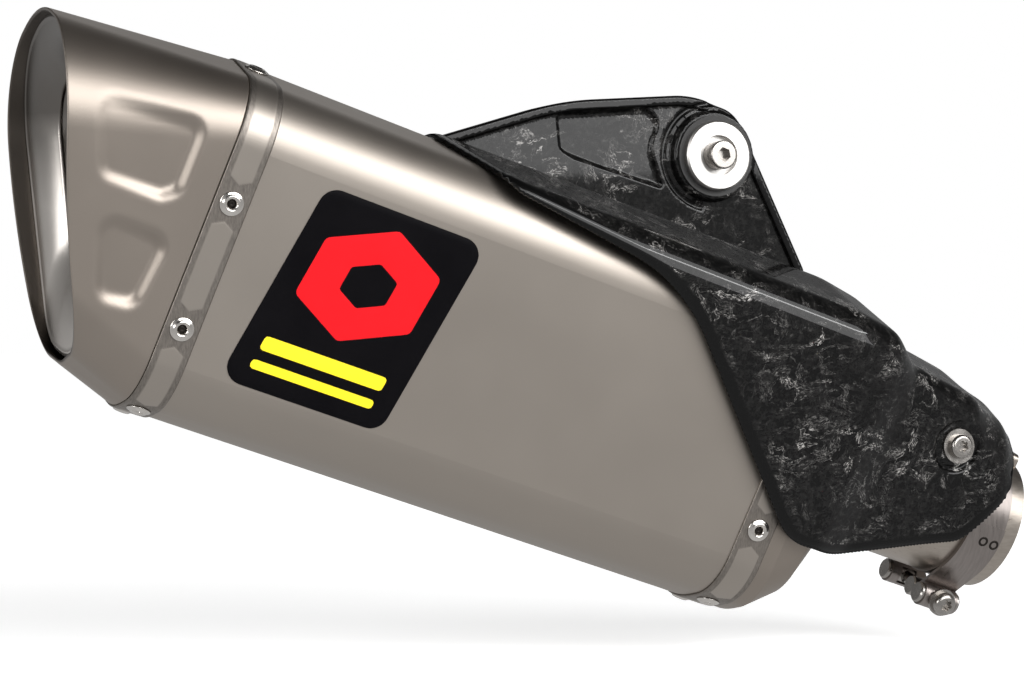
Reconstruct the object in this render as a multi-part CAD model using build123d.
from build123d import *
import math
import os

# A slip-on racing silencer: six-sided titanium canister, slash-cut outlet cap, tapered inlet cap,
# link pipe with a strap clamp, carbon hanger bracket and carbon heat shield.
#
# Everything is drawn in the canister frame and then placed. In the canister frame +X runs along the
# canister towards the inlet, x = 0 is the mouth of the link pipe, +Y points towards the middle of
# the motorcycle and +Z is up, square to the canister. placed() lowers that frame onto the link pipe
# axis and tips it, so that the origin of the part is the centre of the inlet mouth.

# Attitude
TILT = 18.7
PIPE_RISE = 2.6

# Canister section, half of it as (y, z) corners, each with its corner radius
RIDGE, RIDGE_RADIUS = (0.0, 80.6), 45.0
SHOULDER, SHOULDER_RADIUS = (66.0, 59.7), 26.0
HIP, HIP_RADIUS = (33.5, -71.6), 26.0
KEEL, KEEL_RADIUS = (0.0, -78.1), 60.0
SLEEVE_WALL = 1.2
CAP_WALL = 1.5

# Stations along the canister
OUTLET_SEAM_X = -423.5
OUTLET_BAND_END_X = -408.7
INLET_BAND_START_X = -145.0
INLET_BAND_END_X = -129.0
SLEEVE_LAP = 3.0
SPIGOT_ROOT = 3.0
SPIGOT_LENGTH = 18.5
BAND_THICKNESS = 1.0

# End cap
CAP_TIP_X = -512.0
CAP_TIP_CORNERS = ((0.0, 73.2), (68.0, 53.0), (49.0, -42.0), (0.0, -47.0))
CAP_TIP_RADII = (90.0, 44.0, 26.0, 60.0)
RIM_BOTTOM, RIM_MIDDLE, RIM_TOP = (-451.4, -65.4), (-484.5, 3.3), (-507.0, 72.0)
POCKET_DEPTH = 3.0
POCKET_CORNER_RADIUS = 4.0
UPPER_POCKET = ((-485.0, 36.0), (-437.0, 40.0), (-437.0, 10.0), (-444.0, 5.0), (-471.0, 5.0))
LOWER_POCKET = ((-467.0, -8.0), (-433.5, -9.0), (-437.0, -39.0), (-454.0, -41.0))

# Funnel and outlet tube, as corners in the tilted rim plane
MOUTH_CORNERS = ((0.0, 75.8), (67.6, 55.2), (38.9, -70.2), (0.0, -77.4))
MOUTH_RADII = (84.0, 42.0, 26.0, 58.0)
MOUTH_INSET = 4.5
MOUTH_DEPTH = 3.0
THROAT_CORNERS = ((0.0, 50.0), (36.0, 34.0), (27.0, -34.0), (0.0, -42.0))
THROAT_RADII = (28.0, 20.0, 20.0, 32.0)
THROAT_DEPTH = 12.0
TUBE_END_SCALE = 0.74
FUNNEL_WALL = 1.2

# Inside
BAFFLE_THICKNESS = 2.0
CORE_INNER_RADIUS = 22.5
CORE_WALL = 1.2
WOOL_RADIUS = 29.0
PERFORATION_RADIUS = 2.5
PERFORATION_PITCH = 26.0
PERFORATIONS_ROUND = 8

# Inlet cap: how far each station has changed from the canister section to the pipe collar
INLET_CAP_STATIONS = ((-122.0, 0.0), (-109.0, 0.21), (-99.0, 0.69), (-91.0, 1.0))
COLLAR_RADIUS = 33.4

# Link pipe
SOCKET_RADIUS = 30.25
SOCKET_DEPTH = 45.0
PIPE_BORE_RADIUS = 29.75
PIPE_RADIUS = 31.75
SLOT_WIDTH = 3.0
SLOT_LENGTH = 32.0
SLOT_ANGLES = (-40.0, -130.0)
TAB_ANGLE = 16.0
TAB_WIDTH = 11.0
TAB_HEIGHT = 5.0
TAB_LENGTH = 6.5

# Rivets
RIVET_HEAD_RADIUS = 5.2
RIVET_HEAD_HEIGHT = 1.6
RIVET_SHANK_RADIUS = 2.4
RIVET_HOLE_RADIUS = 1.8
RIVET_TAIL_RADIUS = 3.3
RIVET_TAIL_LENGTH = 2.2
SIDE_RIVET_SHARES = (0.355, 0.765)
TOP_RIVET_SHARE = 0.36
KEEL_RIVET_SHARE = 0.57

# Badge on the outer flat: left and right ends of its top and bottom edges, heights along the flat
BADGE_TOP = (-381.0, -307.0, 34.3)
BADGE_BOTTOM = (-394.0, -320.0, -56.0)
BADGE_RADIUS = 8.0
BADGE_THICKNESS = 0.5

# Heat shield: station, growth of the canister section, drop of its shoulders, scale, roundness,
# radius when round
SHIELD_STATIONS = (
    (-330.0, 3.0, 0.0, 1.00, 0.0, 50.0),
    (-128.0, 6.5, 4.0, 1.00, 0.0, 50.0),
    (-107.0, 6.5, 4.0, 0.965, 0.0, 50.0),
    (-90.0, 6.5, 4.0, 0.82, 0.0, 50.0),
    (-52.0, 6.5, 4.0, 0.765, 0.0, 50.0),
    (-27.0, 6.5, 4.0, 0.70, 0.5, 52.0),
    (-12.0, 6.5, 4.0, 0.56, 1.0, 45.0),
    (-4.0, 6.5, 4.0, 0.45, 1.0, 38.5),
)
SHIELD_SHOULDER_RADIUS = 10.0
SHIELD_WALL = 2.2
SHIELD_FAR_EDGE_Y = 5.0
SHIELD_OUTLINE = (
    (-328.0, 120.0), (-327.0, 78.0), (-301.0, 60.0), (-218.0, 46.0), (-124.0, -42.0),
    (-96.0, -41.0), (-35.0, -15.0), (-19.5, 10.0), (-17.0, 60.0), (-17.0, 120.0),
)
SHIELD_OUTLINE_RADII = (0.0, 3.0, 12.0, 90.0, 25.0, 40.0, 14.0, 25.0, 0.0, 0.0)
SHIELD_SCREW = (-56.0, 25.0)
SHIELD_SEAT_Y = -50.8
SHIELD_SEAT_RADIUS = 8.5
STANDOFF_RADIUS = 6.0

# Hanger bracket
BRACKET_OUTLINE = ((-330.0, 76.0), (-275.0, 115.5), (-215.0, 141.0), (-191.0, 141.0), (-134.0, 84.0),
                   (-134.0, 70.0), (-330.0, 70.0))
BRACKET_OUTLINE_RADII = (0.0, 150.0, 45.0, 18.0, 3.0, 0.0, 0.0)
BRACKET_NEAR_Y, BRACKET_FAR_Y = -6.0, 4.0
BRACKET_RIM_WIDTH = 5.0
BRACKET_PANEL_DEPTH = 3.0
BOSS_CENTRE = (-196.0, 118.0)
BOSS_RADIUS = 20.5
BOSS_HALF_WIDTH = 8.0
BRACKET_BOLT_POINTS = ((-286.0, 91.0), (-228.0, 91.0), (-157.0, 93.0))
BRACKET_PAD_RADIUS = 8.0
LUG_WIDTH = 26.0
LUG_TOP_MARGIN = 8.0
LUG_THICKNESS = 3.0
LUG_NEAR_Y = 9.0

# Hanger grommet, sleeve and bolt
GROMMET_RADIUS = 17.0
GROMMET_FLANGE_RADIUS = 18.5
GROMMET_FLANGE = 1.5
SPACER_RADIUS = 10.0
SPACER_FLANGE_RADIUS = 16.0
SPACER_FLANGE = 3.5
SPACER_DISH_RADIUS = 9.25
SPACER_DISH = 3.3
M8_RADIUS = 4.0
M8_SHOULDER_RADIUS = 4.5
M8_BORE_RADIUS = 4.56
M8_THREAD_LENGTH = 22.0
M8_HEAD_RADIUS = 6.5
M8_HEAD_HEIGHT = 8.0
M8_REACH = 34.0
M6_RADIUS = 3.0
RUNNING_GAP = 0.06
HEAD_GAP = 0.3
WASHER_THICKNESS = 2.0

# Strap clamp, in its own frame: bolt along +Y, below the link pipe axis
CLAMP_ROLL = 14.0
CLAMP_CENTRE_X = -17.0
STRAP_WIDTH = 18.0
STRAP_THICKNESS = 0.8
LINER_THICKNESS = 0.6
CLAMP_GAP = 0.08
BOLT_DROP = 40.3
NEAR_LOOP_Y, MIDDLE_BARREL_Y, FAR_LOOP_Y = -15.0, -2.6, 21.0
LOOP_ANGLES = {NEAR_LOOP_Y: 48.0, FAR_LOOP_Y: 60.5}
FOLD_ANGLE = 96.0
TRUNNION_RADIUS = 5.0
TRUNNION_LENGTH = 22.0
MIDDLE_BARREL_RADIUS = 4.8
MIDDLE_BARREL_LENGTH = 17.0
LOOP_WINDOW = 8.4
CLAMP_BOLT_FLANGE_RADIUS = 6.6
CLAMP_BOLT_FLANGE = 1.5
CLAMP_BOLT_HEAD_RADIUS = 5.6
CLAMP_BOLT_HEAD_HEIGHT = 4.6
CLAMP_BOLT_TAIL_Y = 33.0

FAR = 200.0


def mirrored(half):
    """Full outline of a shape given by its ridge, shoulder, hip and keel corners."""
    ridge, shoulder, hip, keel = half
    return [ridge, shoulder, hip, keel, (-hip[0], hip[1]), (-shoulder[0], shoulder[1])]


def mirrored_radii(half):
    """Values given for ridge, shoulder, hip and keel, in the order of the corners of mirrored()."""
    ridge, shoulder, hip, keel = half
    return [ridge, shoulder, hip, keel, hip, shoulder]


CANISTER = mirrored((RIDGE, SHOULDER, HIP, KEEL))
CANISTER_RADII = mirrored_radii((RIDGE_RADIUS, SHOULDER_RADIUS, HIP_RADIUS, KEEL_RADIUS))
SHIELD_RADII = mirrored_radii((RIDGE_RADIUS, SHIELD_SHOULDER_RADIUS, HIP_RADIUS, KEEL_RADIUS))


def ring_corners(radius):
    """Six corners round a circle, in the order of the canister corners, lifted to the pipe axis."""
    reach = radius / math.cos(math.radians(30.0))
    angles = (90.0, 30.0, -30.0, -90.0, -150.0, 150.0)
    return [(reach * math.cos(math.radians(a)), PIPE_RISE + reach * math.sin(math.radians(a)))
            for a in angles]


def ring_radii(radius):
    """Corner radii that turn ring_corners() into a circle but for a short flat on each side."""
    return [0.95 * radius] * 6


def mixed(first, second, share):
    """Points part of the way from one list of points to another."""
    return [(a[0] + share * (b[0] - a[0]), a[1] + share * (b[1] - a[1]))
            for a, b in zip(first, second)]


def mixed_radii(first, second, share):
    """Radii part of the way from one list to another."""
    return [a + share * (b - a) for a, b in zip(first, second)]


def offset_corners(corners, grow):
    """Corners of a clockwise outline after every side has moved outward by grow."""
    moved = []
    for index, corner in enumerate(corners):
        before = corners[index - 1]
        after = corners[(index + 1) % len(corners)]
        normals = []
        for start, end in ((before, corner), (corner, after)):
            run = (end[0] - start[0], end[1] - start[1])
            length = math.hypot(*run)
            normals.append((-run[1] / length, run[0] / length))
        (ax, ay), (bx, by) = normals
        push = grow / (1.0 + ax * bx + ay * by)
        moved.append((corner[0] + push * (ax + bx), corner[1] + push * (ay + by)))
    return moved


def rounded_face(plane, corners, radii, grow=0.0):
    """Flat face with rounded corners on a plane, grown outward and kept parallel to itself."""
    moved = offset_corners(corners, grow)
    grown = [radius + grow for radius in radii]
    return plane * make_face(FilletPolyline(*moved, radius=grown, close=True))


def across(x):
    """Plane square to the canister axis, with local x along +Y and local y along +Z."""
    return Plane(origin=(x, 0, 0), x_dir=(0, 1, 0), z_dir=(1, 0, 0))


def side_view(y):
    """Plane of the side view, with local x along +X and local y along +Z."""
    return Plane(origin=(0, y, 0), x_dir=(1, 0, 0), z_dir=(0, -1, 0))


def canister_face(x, grow=0.0):
    return rounded_face(across(x), CANISTER, CANISTER_RADII, grow)


def canister_prism(start_x, end_x, grow=0.0):
    """Solid of the canister section between two stations."""
    return extrude(canister_face(start_x, grow), amount=end_x - start_x, dir=(1, 0, 0))


def canister_shell(start_x, end_x, outer_grow, inner_grow):
    return canister_prism(start_x, end_x, outer_grow) - canister_prism(start_x, end_x, inner_grow)


def rod(radius, start_x, end_x, y=0.0, z=0.0):
    """Cylinder along X."""
    middle = (start_x + end_x) / 2
    return Pos(middle, y, z) * Rot(0, 90, 0) * Cylinder(radius, abs(end_x - start_x))


def crossbar(radius, start_y, end_y, x=0.0, z=0.0):
    """Cylinder along Y."""
    middle = (start_y + end_y) / 2
    return Pos(x, middle, z) * Rot(90, 0, 0) * Cylinder(radius, abs(end_y - start_y))


def pipe_rod(radius, start_x, end_x):
    """Cylinder on the link pipe axis, drawn in the canister frame."""
    return rod(radius, start_x, end_x, 0.0, PIPE_RISE)


def slab(start, end):
    """Box from one corner to the opposite one."""
    size = [end[i] - start[i] for i in range(3)]
    centre = [(end[i] + start[i]) / 2 for i in range(3)]
    return Pos(*centre) * Box(*size)


def placed(shape):
    """Moves a shape from the canister frame to the part's own frame."""
    return Rot(0, TILT, 0) * Pos(0, 0, -PIPE_RISE) * shape


# Rivets -------------------------------------------------------------------------------------------

def flat_place(start, end, share, x, grow):
    """Place on a flat of the canister with local z pointing straight out of it."""
    run_y, run_z = end[0] - start[0], end[1] - start[1]
    length = math.hypot(run_y, run_z)
    out_y, out_z = -run_z / length, run_y / length
    y = start[0] + share * run_y + grow * out_y
    z = start[1] + share * run_z + grow * out_z
    return Plane(origin=(x, y, z), x_dir=(1, 0, 0), z_dir=(0, out_y, out_z)).location


def rivet_places(x):
    """Eight places round a band: two on each side, two on the roof and two on the keel."""
    ridge, shoulder, hip, keel, left_hip, left_shoulder = CANISTER
    places = []
    for share in SIDE_RIVET_SHARES:
        places.append(flat_place(shoulder, hip, share, x, BAND_THICKNESS))
        places.append(flat_place(left_hip, left_shoulder, 1 - share, x, BAND_THICKNESS))
    places.append(flat_place(ridge, shoulder, TOP_RIVET_SHARE, x, BAND_THICKNESS))
    places.append(flat_place(left_shoulder, ridge, 1 - TOP_RIVET_SHARE, x, BAND_THICKNESS))
    places.append(flat_place(hip, keel, KEEL_RIVET_SHARE, x, BAND_THICKNESS))
    places.append(flat_place(keel, left_hip, 1 - KEEL_RIVET_SHARE, x, BAND_THICKNESS))
    return places


def rivet():
    """Blind rivet with its bearing face at z = 0."""
    grip = BAND_THICKNESS + SLEEVE_WALL + CAP_WALL
    head = Pos(0, 0, RIVET_HEAD_HEIGHT / 2) * Cylinder(RIVET_HEAD_RADIUS, RIVET_HEAD_HEIGHT)
    head = fillet(head.edges().group_by(Axis.Z)[-1], RIVET_HEAD_HEIGHT * 0.7)
    shank = Pos(0, 0, -grip / 2) * Cylinder(RIVET_SHANK_RADIUS, grip)
    tail = Pos(0, 0, -grip - RIVET_TAIL_LENGTH / 2) * Cylinder(RIVET_TAIL_RADIUS, RIVET_TAIL_LENGTH)
    hole = Cylinder(RIVET_HOLE_RADIUS, 2 * grip)
    return head + shank + tail - hole


def rivet_group(x):
    return Compound([place * rivet() for place in rivet_places(x)])


def without_rivet_holes(shape, x):
    """Cuts the rivet shank holes of a band from a shape."""
    for place in rivet_places(x):
        shape = shape - place * Cylinder(RIVET_SHANK_RADIUS, 12.0)
    return shape


OUTLET_RIVET_X = (OUTLET_SEAM_X + OUTLET_BAND_END_X) / 2
INLET_RIVET_X = (INLET_BAND_START_X + INLET_BAND_END_X) / 2


# Canister -----------------------------------------------------------------------------------------

def outer_sleeve():
    start_x = OUTLET_SEAM_X
    end_x = INLET_BAND_END_X - SLEEVE_LAP
    sleeve = canister_shell(start_x, end_x, 0.0, -SLEEVE_WALL)
    return without_rivet_holes(without_rivet_holes(sleeve, OUTLET_RIVET_X), INLET_RIVET_X)


def outlet_band():
    band = canister_shell(OUTLET_SEAM_X, OUTLET_BAND_END_X, BAND_THICKNESS, 0.0)
    return without_rivet_holes(band, OUTLET_RIVET_X)


def inlet_band():
    band = canister_shell(INLET_BAND_START_X, INLET_BAND_END_X, BAND_THICKNESS, 0.0)
    return without_rivet_holes(band, INLET_RIVET_X)


# End cap ------------------------------------------------------------------------------------------

def cap_solid(grow):
    """Solid inside a surface parallel to the end cap's outer skin, from the seam past the rim."""
    tip = rounded_face(across(CAP_TIP_X), mirrored(CAP_TIP_CORNERS), mirrored_radii(CAP_TIP_RADII), grow)
    return loft([canister_face(OUTLET_SEAM_X, grow), tip], ruled=True)


def rim_directions():
    """Unit vectors up the rim chord and square to it into the cap, as (x, z) pairs."""
    run = (RIM_TOP[0] - RIM_BOTTOM[0], RIM_TOP[1] - RIM_BOTTOM[1])
    length = math.hypot(*run)
    up = (run[0] / length, run[1] / length)
    return up, (up[1], -up[0])


def beyond_rim(depth=0.0):
    """Everything outside the curved slash cut after it has moved depth into the cap."""
    inward = rim_directions()[1]
    bottom, middle, top = [(p[0] + depth * inward[0], p[1] + depth * inward[1])
                           for p in (RIM_BOTTOM, RIM_MIDDLE, RIM_TOP)]
    arc = ThreePointArc(bottom, middle, top)
    rest = Polyline(top, (top[0], FAR), (CAP_TIP_X - FAR, FAR), (CAP_TIP_X - FAR, -FAR),
                    (bottom[0], -FAR), bottom)
    return extrude(side_view(FAR) * make_face([arc, rest]), amount=2 * FAR, dir=(0, -1, 0))


def rim_plane(depth):
    """Plane parallel to the rim chord, depth inside the cap, with local y up the rim."""
    up, inward = rim_directions()
    x = (RIM_BOTTOM[0] + RIM_TOP[0]) / 2 + depth * inward[0]
    z = (RIM_BOTTOM[1] + RIM_TOP[1]) / 2 + depth * inward[1]
    return Plane(origin=(x, 0, z), x_dir=(0, 1, 0), z_dir=(inward[0], 0, inward[1]))


def pocket_tool(outline, side, margin):
    """Prism that presses one pocket: its floor sinks from nothing at the left to full depth."""
    left = min(point[0] for point in outline)
    right = max(point[0] for point in outline)
    seam_half_width = SHOULDER[0] - (SHOULDER[1] / (SHOULDER[1] - HIP[1])) * (SHOULDER[0] - HIP[0])
    tip_shoulder, tip_hip = CAP_TIP_CORNERS[1], CAP_TIP_CORNERS[2]
    tip_share = tip_shoulder[1] / (tip_shoulder[1] - tip_hip[1])
    tip_half_width = tip_shoulder[0] - tip_share * (tip_shoulder[0] - tip_hip[0])
    taper = (seam_half_width - tip_half_width) / (OUTLET_SEAM_X - CAP_TIP_X)
    lean = ((SHOULDER[0] - HIP[0]) / (SHOULDER[1] - HIP[1])
            + (tip_shoulder[0] - tip_hip[0]) / (tip_shoulder[1] - tip_hip[1])) / 2
    surface_y = seam_half_width - taper * (OUTLET_SEAM_X - left)
    sink = POCKET_DEPTH / (right - left)
    floor_normal = Vector(-(taper - sink), 1.0, -lean).normalized()
    origin = Vector(left, surface_y, 0.0) - floor_normal * margin
    floor = Plane(origin=origin, x_dir=Vector(1.0, taper - sink, 0.0), z_dir=floor_normal)
    points = [(x - left, -z * math.hypot(1.0, lean)) for x, z in reversed(outline)]
    points = offset_corners(points, margin)
    face = floor * make_face(FilletPolyline(*points, radius=POCKET_CORNER_RADIUS + margin, close=True))
    tool = extrude(face, amount=20.0, dir=floor_normal)
    return tool if side > 0 else mirror(tool, about=Plane.XZ)


def pocket_tools(margin):
    return [pocket_tool(outline, side, margin)
            for outline in (UPPER_POCKET, LOWER_POCKET) for side in (1, -1)]


def cap_cavity():
    """Hollow inside the end cap, with the backs of the pockets left in place."""
    cavity = cap_solid(-CAP_WALL)
    for tool in pocket_tools(CAP_WALL):
        cavity = cavity - tool
    return cavity


def end_cap():
    skin = cap_solid(0.0) - cap_cavity() - beyond_rim()
    for tool in pocket_tools(0.0):
        skin = skin - tool
    spigot = canister_shell(OUTLET_SEAM_X - SPIGOT_ROOT, OUTLET_SEAM_X + SPIGOT_LENGTH,
                            -SLEEVE_WALL, -SLEEVE_WALL - CAP_WALL)
    return without_rivet_holes(skin + spigot, OUTLET_RIVET_X)


def mouth_face(grow, depth):
    return rounded_face(rim_plane(depth), mirrored(MOUTH_CORNERS), mirrored_radii(MOUTH_RADII), grow)


def throat_face(grow, depth):
    return rounded_face(rim_plane(depth), mirrored(THROAT_CORNERS), mirrored_radii(THROAT_RADII), grow)


def mouth_funnel():
    """Dished sheet from a flange at the cap wall down to the throat."""
    inward = rim_directions()[1]
    direction = (inward[0], 0, inward[1])
    solids = []
    for thickness in (FUNNEL_WALL, 0.0):
        mouth = mouth_face(-MOUTH_INSET, MOUTH_DEPTH + thickness)
        solids.append(loft([mouth, throat_face(0.0, THROAT_DEPTH + thickness)], ruled=True))
    flange = extrude(mouth_face(6.0, MOUTH_DEPTH), amount=FUNNEL_WALL, dir=direction) & cap_cavity()
    through = extrude(throat_face(0.0, MOUTH_DEPTH), amount=THROAT_DEPTH, dir=direction)
    return flange + solids[0] - solids[1] - through


def outlet_baffle_x():
    return OUTLET_SEAM_X + SPIGOT_LENGTH - SPIGOT_ROOT - BAFFLE_THICKNESS


def outlet_tube():
    """Tube from the throat back to the outlet baffle."""
    end_x = outlet_baffle_x()
    solids = []
    for grow in (FUNNEL_WALL, 0.0):
        corners = mirrored(THROAT_CORNERS)
        narrow = [(TUBE_END_SCALE * y, TUBE_END_SCALE * z + PIPE_RISE) for y, z in corners]
        radii = [TUBE_END_SCALE * radius for radius in mirrored_radii(THROAT_RADII)]
        start = throat_face(grow, THROAT_DEPTH + FUNNEL_WALL)
        solids.append(loft([start, rounded_face(across(end_x), narrow, radii, grow)], ruled=True))
    return solids[0] - solids[1]


# Inside -------------------------------------------------------------------------------------------

def baffle(x):
    plate = canister_prism(x, x + BAFFLE_THICKNESS, -SLEEVE_WALL - CAP_WALL)
    return plate - pipe_rod(CORE_INNER_RADIUS, x, x + BAFFLE_THICKNESS)


def inlet_baffle_x():
    return INLET_BAND_START_X - SPIGOT_ROOT


def packing_span():
    return outlet_baffle_x() + BAFFLE_THICKNESS, inlet_baffle_x()


def core_tube():
    start_x, end_x = packing_span()
    outer_radius = CORE_INNER_RADIUS + CORE_WALL
    tube = pipe_rod(outer_radius, start_x, end_x) - pipe_rod(CORE_INNER_RADIUS, start_x, end_x)
    drills = []
    rows = int((end_x - start_x) / PERFORATION_PITCH)
    first_x = (start_x + end_x - (rows - 1) * PERFORATION_PITCH) / 2
    for row in range(rows):
        for step in range(PERFORATIONS_ROUND // 2):
            angle = step * 360.0 / PERFORATIONS_ROUND
            drill = Rot(angle, 0, 0) * Cylinder(PERFORATION_RADIUS, 3 * outer_radius)
            drills.append(Pos(first_x + row * PERFORATION_PITCH, 0, PIPE_RISE) * drill)
    return tube - drills


def steel_wool_wrap():
    start_x, end_x = packing_span()
    return pipe_rod(WOOL_RADIUS, start_x, end_x) - pipe_rod(CORE_INNER_RADIUS + CORE_WALL, start_x, end_x)


def glass_packing():
    start_x, end_x = packing_span()
    return canister_prism(start_x, end_x, -SLEEVE_WALL - CAP_WALL) - pipe_rod(WOOL_RADIUS, start_x, end_x)


# Inlet end ----------------------------------------------------------------------------------------

def inlet_dome(grow):
    """Solid of the tapered inlet cap, grown outward by grow."""
    faces = []
    for x, share in INLET_CAP_STATIONS:
        corners = mixed(CANISTER, ring_corners(COLLAR_RADIUS), share)
        radii = mixed_radii(CANISTER_RADII, ring_radii(COLLAR_RADIUS), share)
        faces.append(rounded_face(across(x), corners, radii, grow))
    return loft(faces, ruled=True)


def inlet_cap():
    wall_start = INLET_BAND_END_X - SLEEVE_LAP
    dome_start = INLET_CAP_STATIONS[0][0]
    wall = canister_shell(wall_start, dome_start, 0.0, -CAP_WALL)
    spigot = canister_shell(inlet_baffle_x(), wall_start + SPIGOT_ROOT, -SLEEVE_WALL, -SLEEVE_WALL - CAP_WALL)
    dome = inlet_dome(0.0) - inlet_dome(-CAP_WALL)
    dome = dome - pipe_rod(PIPE_RADIUS, dome_start, 0.0)
    return without_rivet_holes(wall + spigot + dome, INLET_RIVET_X)


def link_pipe():
    start_x = inlet_baffle_x() + BAFFLE_THICKNESS
    pipe = pipe_rod(PIPE_RADIUS, start_x, 0.0) - pipe_rod(PIPE_BORE_RADIUS, start_x, 0.0)
    pipe = pipe - pipe_rod(SOCKET_RADIUS, -SOCKET_DEPTH, 0.0)
    for angle in SLOT_ANGLES:
        slot = slab((-SLOT_LENGTH, -SLOT_WIDTH / 2, 0.0), (1.0, SLOT_WIDTH / 2, FAR / 4))
        pipe = pipe - Pos(0, 0, PIPE_RISE) * Rot(angle, 0, 0) * slot
    return pipe


def inlet_weld_bead():
    """Fillet weld round the pipe where the inlet cap ends."""
    end_x = INLET_CAP_STATIONS[-1][0]
    bead = Pos(end_x, 0, PIPE_RISE) * Rot(0, 90, 0) * Torus(PIPE_RADIUS + 0.8, 2.0)
    keep = pipe_rod(FAR, end_x, end_x + 5.0)
    return (bead & keep) - pipe_rod(PIPE_RADIUS, end_x - 5.0, end_x + 5.0)


def locating_tab():
    """Rounded key on top of the pipe mouth, ahead of the clamp."""
    key = slab((-TAB_LENGTH, -TAB_WIDTH / 2, PIPE_RADIUS - 2.0), (0.0, TAB_WIDTH / 2, PIPE_RADIUS + TAB_HEIGHT))
    tops = key.edges().filter_by(Axis.X).group_by(Axis.Z)[-1]
    key = fillet(tops, TAB_HEIGHT * 0.6)
    key = Pos(0, 0, PIPE_RISE) * Rot(TAB_ANGLE, 0, 0) * key
    return key - pipe_rod(PIPE_RADIUS, -2 * TAB_LENGTH, TAB_LENGTH)


# Heat shield --------------------------------------------------------------------------------------

def shield_solid(grow):
    """Solid inside a surface parallel to the shield's outer skin."""
    faces = []
    for x, station_grow, drop, scale, roundness, radius in SHIELD_STATIONS:
        grown = offset_corners(CANISTER, station_grow)
        drops = mirrored_radii((0.0, drop, 0.0, 0.0))
        corners = [(scale * y, scale * (z - lower)) for (y, z), lower in zip(grown, drops)]
        radii = [scale * (corner_radius + station_grow) for corner_radius in SHIELD_RADII]
        corners = mixed(corners, ring_corners(radius), roundness)
        radii = mixed_radii(radii, ring_radii(radius), roundness)
        faces.append(rounded_face(across(x), corners, radii, grow))
    return loft(faces, ruled=True)


def shield_outline_solid():
    """Near half of space inside the shield's outline in side view."""
    edge = FilletPolyline(*SHIELD_OUTLINE, radius=SHIELD_OUTLINE_RADII, close=True)
    depth = FAR + SHIELD_FAR_EDGE_Y
    return extrude(side_view(SHIELD_FAR_EDGE_Y) * make_face(edge), amount=depth, dir=(0, -1, 0))


def heat_shield():
    shell = (shield_solid(0.0) - shield_solid(-SHIELD_WALL)) & shield_outline_solid()
    x, z = SHIELD_SCREW
    shell = shell - crossbar(SHIELD_SEAT_RADIUS, -FAR, SHIELD_SEAT_Y, x, z)
    return shell - crossbar(M6_RADIUS, -FAR, 0.0, x, z)


def shield_standoff():
    """Threaded post welded to the link pipe behind the shield screw."""
    x, z = SHIELD_SCREW
    post = crossbar(STANDOFF_RADIUS, SHIELD_SEAT_Y, -10.0, x, z) & shield_solid(-SHIELD_WALL)
    post = post - pipe_rod(PIPE_RADIUS, x - 20.0, x + 20.0)
    return post - crossbar(M6_RADIUS, -FAR, SHIELD_SEAT_Y + 18.0, x, z)


def shield_washer():
    x, z = SHIELD_SCREW
    outer = crossbar(8.0, SHIELD_SEAT_Y - 1.5, SHIELD_SEAT_Y, x, z)
    return outer - crossbar(M6_RADIUS, -FAR, 0.0, x, z)


def star_recess(radius, depth):
    """Six-lobed driver recess that opens at z = 0 and goes down."""
    recess = Cylinder(radius * 0.72, 2 * depth)
    for step in range(6):
        recess = recess + Rot(0, 0, 60 * step) * Pos(radius * 0.72, 0, 0) * Cylinder(radius * 0.28, 2 * depth)
    return recess


def button_screw(head_radius, head_height, shank_radius, shank_length, recess):
    """Screw with its bearing face at z = 0, its head above and its shank below."""
    head = Pos(0, 0, head_height / 2) * Cylinder(head_radius, head_height)
    head = fillet(head.edges().group_by(Axis.Z)[-1], head_height * 0.45)
    shank = Pos(0, 0, -shank_length / 2) * Cylinder(shank_radius, shank_length)
    return head + shank - Pos(0, 0, head_height) * recess


def shield_screw():
    x, z = SHIELD_SCREW
    screw = button_screw(5.5, 3.6, M6_RADIUS, 17.0, star_recess(2.7, 2.0))
    return Pos(x, SHIELD_SEAT_Y - 1.5, z) * Rot(90, 0, 0) * screw


# Hanger bracket -----------------------------------------------------------------------------------

def bracket_face(y, grow=0.0):
    corners = offset_corners(BRACKET_OUTLINE, grow)
    radii = [max(radius + grow, 0.0) for radius in BRACKET_OUTLINE_RADII]
    return side_view(y) * make_face(FilletPolyline(*corners, radius=radii, close=True))


def bracket_pads():
    """Round pads behind the bracket where the lugs bolt on."""
    return [crossbar(BRACKET_PAD_RADIUS, 0.0, LUG_NEAR_Y, x, z) for x, z in BRACKET_BOLT_POINTS]


def hanger_bracket():
    depth = BRACKET_FAR_Y - BRACKET_NEAR_Y
    boss_x, boss_z = BOSS_CENTRE
    plate = extrude(bracket_face(BRACKET_FAR_Y), amount=depth, dir=(0, -1, 0))
    panel = extrude(bracket_face(BRACKET_NEAR_Y + BRACKET_PANEL_DEPTH, -BRACKET_RIM_WIDTH),
                    amount=BRACKET_PANEL_DEPTH, dir=(0, -1, 0))
    panel = panel - slab((-400.0, -FAR, 0.0), (0.0, FAR, 88.0))
    boss = crossbar(BOSS_RADIUS, -BOSS_HALF_WIDTH, BOSS_HALF_WIDTH, boss_x, boss_z)
    plate = plate - panel + boss
    for pad in bracket_pads():
        plate = plate + pad
    plate = plate - shield_solid(0.0) - canister_prism(-345.0, -120.0, BAND_THICKNESS)
    for x, z in BRACKET_BOLT_POINTS:
        plate = plate - crossbar(4.5, 1.0, LUG_NEAR_Y, x, z)
    return plate - crossbar(GROMMET_RADIUS, -FAR, FAR, boss_x, boss_z)


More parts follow.
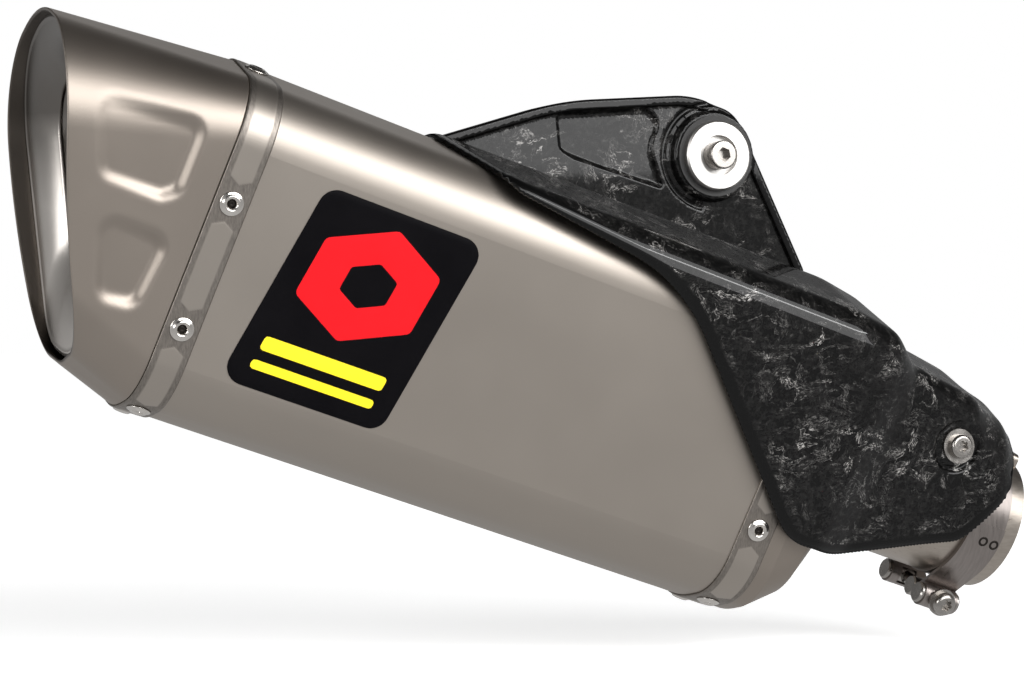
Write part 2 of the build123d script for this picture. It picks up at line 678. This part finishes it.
def bracket_lugs():
    """Titanium tabs welded to the roof of the sleeve, one behind each pad."""
    lugs = []
    for x, z in BRACKET_BOLT_POINTS:
        far_y = LUG_NEAR_Y + LUG_THICKNESS
        lug = slab((x - LUG_WIDTH / 2, LUG_NEAR_Y, 70.0), (x + LUG_WIDTH / 2, far_y, z + LUG_TOP_MARGIN))
        lug = fillet(lug.edges().filter_by(Axis.Y).group_by(Axis.Z)[-1], LUG_TOP_MARGIN)
        lug = lug - canister_prism(-345.0, -120.0) - shield_solid(0.0)
        lugs.append(lug - crossbar(M6_RADIUS, 0.0, FAR, x, z))
    return lugs


def lug_group():
    lugs = []
    for lug in bracket_lugs():
        lugs.extend(lug.solids())
    return Compound(lugs)


def bracket_washers():
    start_y = LUG_NEAR_Y + LUG_THICKNESS
    return Compound([crossbar(6.5, start_y, start_y + 1.2, x, z) - crossbar(M6_RADIUS, 0.0, FAR, x, z)
                     for x, z in BRACKET_BOLT_POINTS])


def bracket_bolts():
    seat_y = LUG_NEAR_Y + LUG_THICKNESS + 1.2
    bolts = []
    for x, z in BRACKET_BOLT_POINTS:
        bolt = button_screw(5.5, 4.0, M6_RADIUS, seat_y - 2.0, star_recess(2.7, 2.0))
        bolts.append(Pos(x, seat_y, z) * Rot(-90, 0, 0) * bolt)
    return Compound(bolts)


def bracket_inserts():
    return Compound([crossbar(4.5, 1.0, LUG_NEAR_Y, x, z) - crossbar(M6_RADIUS, 0.0, FAR, x, z)
                     for x, z in BRACKET_BOLT_POINTS])


# Hanger grommet and bolt --------------------------------------------------------------------------

GROMMET_END_Y = BOSS_HALF_WIDTH + GROMMET_FLANGE
SPACER_DISH_Y = -GROMMET_END_Y - SPACER_FLANGE + SPACER_DISH


def on_hanger(radius, start_y, end_y):
    return crossbar(radius, start_y, end_y, *BOSS_CENTRE)


def rubber_grommet():
    body = on_hanger(GROMMET_RADIUS, -GROMMET_END_Y, GROMMET_END_Y)
    body = body + on_hanger(GROMMET_FLANGE_RADIUS, -GROMMET_END_Y, -BOSS_HALF_WIDTH)
    body = body + on_hanger(GROMMET_FLANGE_RADIUS, BOSS_HALF_WIDTH, GROMMET_END_Y)
    return body - on_hanger(SPACER_RADIUS, -FAR, FAR)


def grommet_sleeve():
    """Flanged aluminium sleeve, dished round the bolt head."""
    body = on_hanger(SPACER_RADIUS, -GROMMET_END_Y, GROMMET_END_Y)
    flange = on_hanger(SPACER_FLANGE_RADIUS, -GROMMET_END_Y - SPACER_FLANGE, -GROMMET_END_Y)
    flange = chamfer(flange.edges().group_by(Axis.Y)[0], 0.8)
    body = body + flange - on_hanger(SPACER_DISH_RADIUS, -FAR, SPACER_DISH_Y)
    return body - on_hanger(M8_BORE_RADIUS, -FAR, FAR)


def hanger_washer():
    washer = on_hanger(12.0, GROMMET_END_Y, GROMMET_END_Y + WASHER_THICKNESS)
    return washer - on_hanger(M8_BORE_RADIUS, -FAR, FAR)


def hex_recess(flats, depth):
    """Hexagonal driver recess that opens at z = 0 and goes down."""
    return extrude(RegularPolygon(flats / 2, 6, major_radius=False), amount=depth, both=True)


def hanger_bolt():
    seat_y = SPACER_DISH_Y - HEAD_GAP
    head = Pos(0, 0, M8_HEAD_HEIGHT / 2) * Cylinder(M8_HEAD_RADIUS, M8_HEAD_HEIGHT)
    head = fillet(head.edges().group_by(Axis.Z)[-1], 0.8)
    length = M8_REACH - seat_y
    thread = Pos(0, 0, -length / 2) * Cylinder(M8_RADIUS, length)
    shoulder_length = length - M8_THREAD_LENGTH
    shoulder = Pos(0, 0, -shoulder_length / 2) * Cylinder(M8_SHOULDER_RADIUS, shoulder_length)
    bolt = head + shoulder + thread - Pos(0, 0, M8_HEAD_HEIGHT) * hex_recess(6.0, 4.0)
    return Pos(BOSS_CENTRE[0], seat_y, BOSS_CENTRE[1]) * Rot(90, 0, 0) * bolt


# Badge --------------------------------------------------------------------------------------------

def badge_plate():
    """Thin plate on the outer flat, leaning with the canister's side."""
    lean_y, lean_z = SHOULDER[0] - HIP[0], SHOULDER[1] - HIP[1]
    length = math.hypot(lean_y, lean_z)
    half_width = SHOULDER[0] - SHOULDER[1] / lean_z * lean_y
    plane = Plane(origin=(0, -half_width, 0), x_dir=(1, 0, 0), z_dir=(0, -lean_z / length, -lean_y / length))
    top_left, top_right, top = BADGE_TOP
    bottom_left, bottom_right, bottom = BADGE_BOTTOM
    corners = ((top_left, top), (top_right, top), (bottom_right, bottom), (bottom_left, bottom))
    face = plane * make_face(FilletPolyline(*corners, radius=BADGE_RADIUS, close=True))
    return extrude(face, amount=BADGE_THICKNESS, dir=plane.z_dir)


# Strap clamp --------------------------------------------------------------------------------------

LINER_RADIUS = PIPE_RADIUS + CLAMP_GAP
STRAP_RADIUS = LINER_RADIUS + LINER_THICKNESS
FOLD_RADIUS = STRAP_RADIUS + STRAP_THICKNESS
FOLD_OUTER_RADIUS = FOLD_RADIUS + STRAP_THICKNESS
CLAMP_START_X = CLAMP_CENTRE_X - STRAP_WIDTH / 2


def clamp_placed(shape):
    """Moves a shape from the clamp frame, on the pipe axis, to the canister frame."""
    return Pos(0, 0, PIPE_RISE) * Rot(CLAMP_ROLL, 0, 0) * shape


def arc_strip(inner, outer, start, end):
    """Sketch of a ring from one angle to another, in degrees from straight down towards -y."""
    def at(radius, angle):
        return (-radius * math.sin(math.radians(angle)), -radius * math.cos(math.radians(angle)))
    middle = (start + end) / 2
    edges = [
        ThreePointArc(at(outer, start), at(outer, middle), at(outer, end)),
        Line(at(outer, end), at(inner, end)),
        ThreePointArc(at(inner, end), at(inner, middle), at(inner, start)),
        Line(at(inner, start), at(outer, start)),
    ]
    return make_face(edges)


def loop_sketch(loop_y, side):
    """Tongue, loop and folded end of the strap on one side, side +1 being the near one."""
    angle = LOOP_ANGLES[loop_y]
    tongue_length = BOLT_DROP * math.sin(math.radians(angle)) - abs(loop_y) * math.cos(math.radians(angle))
    tongue = Pos(tongue_length / 2, -FOLD_RADIUS) * Rectangle(tongue_length, 2 * STRAP_THICKNESS)
    shape = Rot(0, 0, -angle) * tongue + arc_strip(FOLD_RADIUS, FOLD_OUTER_RADIUS, angle, FOLD_ANGLE)
    if side < 0:
        shape = mirror(shape, about=Plane.YZ)
    return shape + Pos(loop_y, -BOLT_DROP) * Circle(TRUNNION_RADIUS + STRAP_THICKNESS)


def clamp_strap():
    """Strap round the pipe with a trunnion loop at each end, spot-welded back on itself."""
    near_angle = LOOP_ANGLES[NEAR_LOOP_Y]
    far_angle = LOOP_ANGLES[FAR_LOOP_Y]
    ring = arc_strip(STRAP_RADIUS, FOLD_RADIUS, near_angle, 360.0 - far_angle)
    profile = ring + loop_sketch(NEAR_LOOP_Y, 1) + loop_sketch(FAR_LOOP_Y, -1)
    strap = extrude(across(CLAMP_START_X) * profile, amount=STRAP_WIDTH, dir=(1, 0, 0))
    for loop_y in (NEAR_LOOP_Y, FAR_LOOP_Y):
        strap = strap - rod(TRUNNION_RADIUS, CLAMP_START_X - 5, CLAMP_START_X + STRAP_WIDTH + 5, loop_y, -BOLT_DROP)
    half = LOOP_WINDOW / 2
    window = slab((CLAMP_CENTRE_X - half, -30.0, -BOLT_DROP - half), (CLAMP_CENTRE_X + half, 36.0, -BOLT_DROP + half))
    return clamp_placed(strap - window)


def clamp_liner():
    """Thin liner ring between the strap and the pipe, split at the top."""
    ring = arc_strip(LINER_RADIUS, STRAP_RADIUS, -176.0, 176.0)
    return clamp_placed(extrude(across(CLAMP_START_X) * ring, amount=STRAP_WIDTH, dir=(1, 0, 0)))


def barrel(radius, length, y):
    """Cross barrel drilled for the clamp bolt."""
    body = rod(radius, CLAMP_CENTRE_X - length / 2, CLAMP_CENTRE_X + length / 2, y, -BOLT_DROP)
    body = chamfer(body.edges().filter_by(GeomType.CIRCLE), 0.6)
    return clamp_placed(body - crossbar(M6_RADIUS + RUNNING_GAP, y - 10, y + 10, CLAMP_CENTRE_X, -BOLT_DROP))


def clamp_bolt():
    seat_y = NEAR_LOOP_Y - TRUNNION_RADIUS - STRAP_THICKNESS - HEAD_GAP
    flange = Pos(0, 0, CLAMP_BOLT_FLANGE / 2) * Cylinder(CLAMP_BOLT_FLANGE_RADIUS, CLAMP_BOLT_FLANGE)
    head_height = CLAMP_BOLT_FLANGE + CLAMP_BOLT_HEAD_HEIGHT
    length = CLAMP_BOLT_TAIL_Y - seat_y
    bolt = button_screw(CLAMP_BOLT_HEAD_RADIUS, head_height, M6_RADIUS, length, star_recess(2.9, 2.6))
    return clamp_placed(Pos(CLAMP_CENTRE_X, seat_y, -BOLT_DROP) * Rot(90, 0, 0) * (bolt + flange))


# Writing ------------------------------------------------------------------------------------------

NODES = {
    "outer_sleeve": outer_sleeve(),
    "outlet_band": outlet_band(),
    "outlet_band_rivets": rivet_group(OUTLET_RIVET_X),
    "end_cap": end_cap(),
    "mouth_funnel": mouth_funnel(),
    "outlet_tube": outlet_tube(),
    "outlet_baffle": baffle(outlet_baffle_x()),
    "core_tube": core_tube(),
    "steel_wool_wrap": steel_wool_wrap(),
    "glass_packing": glass_packing(),
    "inlet_baffle": baffle(inlet_baffle_x()),
    "inlet_cap": inlet_cap(),
    "inlet_band": inlet_band(),
    "inlet_band_rivets": rivet_group(INLET_RIVET_X),
    "link_pipe": link_pipe(),
    "inlet_weld_bead": inlet_weld_bead(),
    "locating_tab": locating_tab(),
    "heat_shield": heat_shield(),
    "shield_standoff": shield_standoff(),
    "shield_washer": shield_washer(),
    "shield_screw": shield_screw(),
    "hanger_bracket": hanger_bracket(),
    "bracket_lugs": lug_group(),
    "bracket_washers": bracket_washers(),
    "bracket_bolts": bracket_bolts(),
    "bracket_inserts": bracket_inserts(),
    "rubber_grommet": rubber_grommet(),
    "grommet_sleeve": grommet_sleeve(),
    "hanger_washer": hanger_washer(),
    "hanger_bolt": hanger_bolt(),
    "badge_plate": badge_plate(),
    "clamp_strap": clamp_strap(),
    "clamp_liner": clamp_liner(),
    "head_trunnion": barrel(TRUNNION_RADIUS, TRUNNION_LENGTH, NEAR_LOOP_Y),
    "retainer_barrel": barrel(MIDDLE_BARREL_RADIUS, MIDDLE_BARREL_LENGTH, MIDDLE_BARREL_Y),
    "threaded_trunnion": barrel(TRUNNION_RADIUS, TRUNNION_LENGTH, FAR_LOOP_Y),
    "clamp_bolt": clamp_bolt(),
}

os.makedirs("parts", exist_ok=True)
for name, shape in NODES.items():
    export_step(placed(shape), f"parts/{name}.step")
